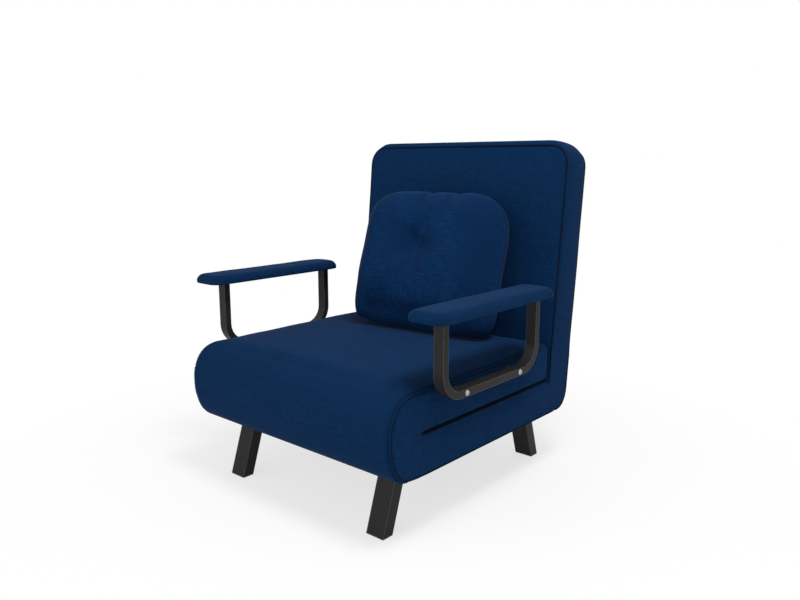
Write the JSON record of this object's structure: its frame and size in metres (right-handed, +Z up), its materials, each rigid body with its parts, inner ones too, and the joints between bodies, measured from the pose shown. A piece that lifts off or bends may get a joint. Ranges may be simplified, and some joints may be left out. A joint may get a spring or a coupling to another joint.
{
  "type": "convertible chair bed",
  "caption": "Low armchair in blue woven fabric that folds out into a single bed: the seat turns over the front edge and the back reclines flat.",
  "frame": {"origin": "on the floor, under the middle of the whole chair's bounding box", "axes": "+Z up, the sitter faces -Y, +X is the sitter's left"},
  "size_m": [0.7802, 0.7288, 0.801],
  "materials": {
    "cushion_fabric": "matte",
    "pillow_fabric": "matte",
    "frame_powder_coat": "satin",
    "bolt_chrome": "satin",
    "hinge_steel": "satin",
    "strap_fabric": "matte",
    "dust_cover_fabric": "matte",
    "glide_plastic": "matte",
    "board_wood": "matte"
  },
  "bodies": {
    "base": {"base_frame": "frame_powder_coat", "base_webbing": "strap_fabric", "base_pad": "cushion_fabric", "base_dust_cover": "dust_cover_fabric", "leg_front_left": "frame_powder_coat", "leg_front_right": "frame_powder_coat", "leg_rear_left": "frame_powder_coat", "leg_rear_right": "frame_powder_coat", "leg_bolts": "hinge_steel", "leg_glides": "glide_plastic", "front_hinge_base_leaves": "hinge_steel", "front_hinge_pins": "hinge_steel", "recline_bracket_left": "hinge_steel", "recline_bracket_right": "hinge_steel", "recline_pins": "hinge_steel", "ratchet_hubs": "hinge_steel"},
    "seat_section": {"seat_frame": "frame_powder_coat", "seat_webbing": "strap_fabric", "seat_pad": "cushion_fabric", "foot_pad": "cushion_fabric", "front_hinge_seat_leaves": "hinge_steel", "arm_frame_left": "frame_powder_coat", "arm_frame_right": "frame_powder_coat", "arm_spacers": "frame_powder_coat", "arm_bolts": "bolt_chrome", "arm_nuts": "hinge_steel", "arm_board_left": "board_wood", "arm_board_right": "board_wood", "arm_pad_left": "cushion_fabric", "arm_pad_right": "cushion_fabric", "arm_pad_screws": "hinge_steel"},
    "back_section": {"back_frame": "frame_powder_coat", "back_webbing": "strap_fabric", "back_pad": "cushion_fabric", "back_rear_pad": "cushion_fabric", "ratchet_discs": "hinge_steel"},
    "loose_pillow": {"pillow": "pillow_fabric"}
  },
  "joints": [
    {"name": "seat_flip", "type": "hinge", "parent": "base", "child": "seat_section", "pos_m": [0, -0.36178, 0.239], "axis": [1, 0, 0], "range_deg": [0, 180], "deforming": ["pillow"]},
    {"name": "back_recline", "type": "hinge", "parent": "base", "child": "back_section", "pos_m": [0, 0.26104, 0.1875], "axis": [-1, 0, 0], "range_deg": [0, 84.75]},
    {"name": "pillow_lift", "type": "slide", "parent": "back_section", "child": "loose_pillow", "axis": [0, 0.0915, 0.9958], "range_m": [0, 0.12]}
  ]
}
